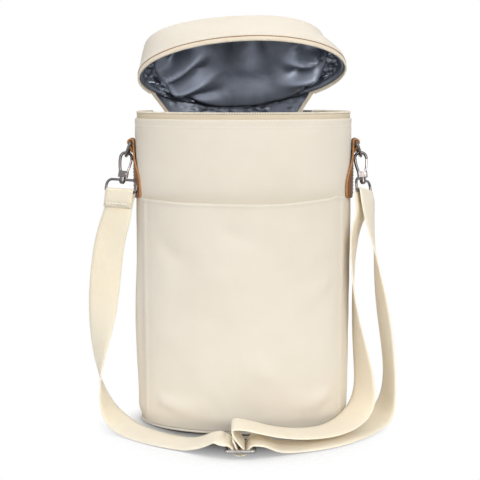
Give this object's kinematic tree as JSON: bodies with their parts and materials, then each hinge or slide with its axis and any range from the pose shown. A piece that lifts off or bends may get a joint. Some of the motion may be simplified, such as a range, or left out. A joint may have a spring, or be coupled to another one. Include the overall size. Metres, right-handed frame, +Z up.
{
  "type": "insulated bottle carrier",
  "caption": "Oval canvas bottle carrier with a hinged zipped lid, a front slip pocket, leather side tabs with rings, and a clip-on webbing shoulder strap.",
  "frame": {"origin": "middle of the base panel's underside, on the floor", "axes": "+Z up the bag, +X to the right seen from the pocket's side, +Y to the back where the lid is hinged"},
  "size_m": [0.3112, 0.1975, 0.4158],
  "materials": {
    "canvas": "cream woven cotton canvas",
    "piping": "cream canvas welt",
    "foam": "closed-cell foam, hidden; the divider is covered in lining",
    "board": "stiff plastic sheet",
    "lining": "soft crinkled slate grey film",
    "binding": "brown woven binding",
    "zip_tape": "beige woven tape",
    "zip_coil": "pale nylon coil",
    "leather": "tan leather with paler cut edges",
    "metal": "dark polished nickel",
    "gate_metal": "bright nickel",
    "webbing": "cream cotton webbing"
  },
  "bodies": {
    "bag": {"base_panel": "canvas", "body_shell": "canvas", "wall_foam": "foam", "base_board": "board", "base_foam": "foam", "lining_wall": "lining", "lining_floor": "lining", "rim_binding": "binding", "base_piping": "piping", "bottle_divider": "foam", "rim_zip_tape": "zip_tape", "rim_zip_coil": "zip_coil", "zip_slider": "metal", "hinge_gusset": "canvas", "front_pocket": "canvas", "pocket_hem": "canvas", "left_tab": "leather", "right_tab": "leather", "strap_slider": "metal", "strap_end_wrap": "webbing", "strap_left_run": "webbing", "strap_outer_run": "webbing", "strap_inner_run": "webbing"},
    "soft_lid": {"lid_zip_coil": "zip_coil", "lid_zip_tape": "zip_tape", "lid_band": "canvas", "lid_top_panel": "canvas", "lid_band_foam": "foam", "lid_foam": "foam", "lid_lining_panel": "lining", "lid_lining_band": "lining", "lid_binding": "binding"},
    "pull_tag": {"zip_pull": "metal"},
    "left_clip_end": {"left_ring": "metal", "left_strap_loop": "metal", "left_strap_fold": "webbing"},
    "left_snap": {"left_hook": "metal", "left_swivel_rivet": "metal", "left_gate_pin": "metal", "left_gate_spring": "gate_metal"},
    "left_gate_lever": {"left_gate": "gate_metal"},
    "right_clip_end": {"right_ring": "metal", "right_strap_loop": "metal", "right_strap_fold": "webbing"},
    "right_snap": {"right_hook": "metal", "right_swivel_rivet": "metal", "right_gate_pin": "metal", "right_gate_spring": "gate_metal"},
    "right_gate_lever": {"right_gate": "gate_metal"}
  },
  "joints": [
    {"name": "lid_hinge", "type": "hinge", "parent": "bag", "child": "soft_lid", "pos_m": [0, 0.0554, 0.3152], "axis": [-0.9962, -0.0872, 0], "range_deg": [-38, 132], "deforming": ["hinge_gusset"]},
    {"name": "left_swing", "type": "hinge", "parent": "bag", "child": "left_clip_end", "pos_m": [-0.11095, 0, 0.2845], "axis": [0, 1, 0], "range_deg": [0, 35], "deforming": ["strap_left_run"]},
    {"name": "left_swivel", "type": "hinge", "parent": "left_clip_end", "child": "left_snap", "pos_m": [-0.11987, -0.00673, 0.24728], "axis": [0.1504, 0.2756, 0.9494], "range_deg": [-35, 35]},
    {"name": "left_gate_pivot", "type": "hinge", "parent": "left_snap", "child": "left_gate_lever", "pos_m": [-0.11632, -0.0051, 0.25246], "axis": [0.0431, -0.9613, 0.2722], "range_deg": [0, 22], "stiffness_Nm_per_rad": 0.02, "springref_deg": -11.46, "deforming": ["left_gate_spring"]},
    {"name": "right_swing", "type": "hinge", "parent": "bag", "child": "right_clip_end", "pos_m": [0.11095, 0, 0.2845], "axis": [0, -1, 0], "range_deg": [0, 35], "deforming": ["strap_outer_run", "strap_inner_run"]},
    {"name": "right_swivel", "type": "hinge", "parent": "right_clip_end", "child": "right_snap", "pos_m": [0.11825, -0.00673, 0.24708], "axis": [-0.0838, 0.2756, 0.9576], "range_deg": [-35, 35]},
    {"name": "right_gate_pivot", "type": "hinge", "parent": "right_snap", "child": "right_gate_lever", "pos_m": [0.12044, -0.0051, 0.25297], "axis": [-0.024, -0.9613, 0.2746], "range_deg": [0, 22], "stiffness_Nm_per_rad": 0.02, "springref_deg": -11.46, "deforming": ["right_gate_spring"]},
    {"name": "zip_pull_flip", "type": "hinge", "parent": "bag", "child": "pull_tag", "pos_m": [0.06781, 0.04592, 0.3101], "axis": [0.923, -0.3847, 0], "range_deg": [0, 120]}
  ]
}
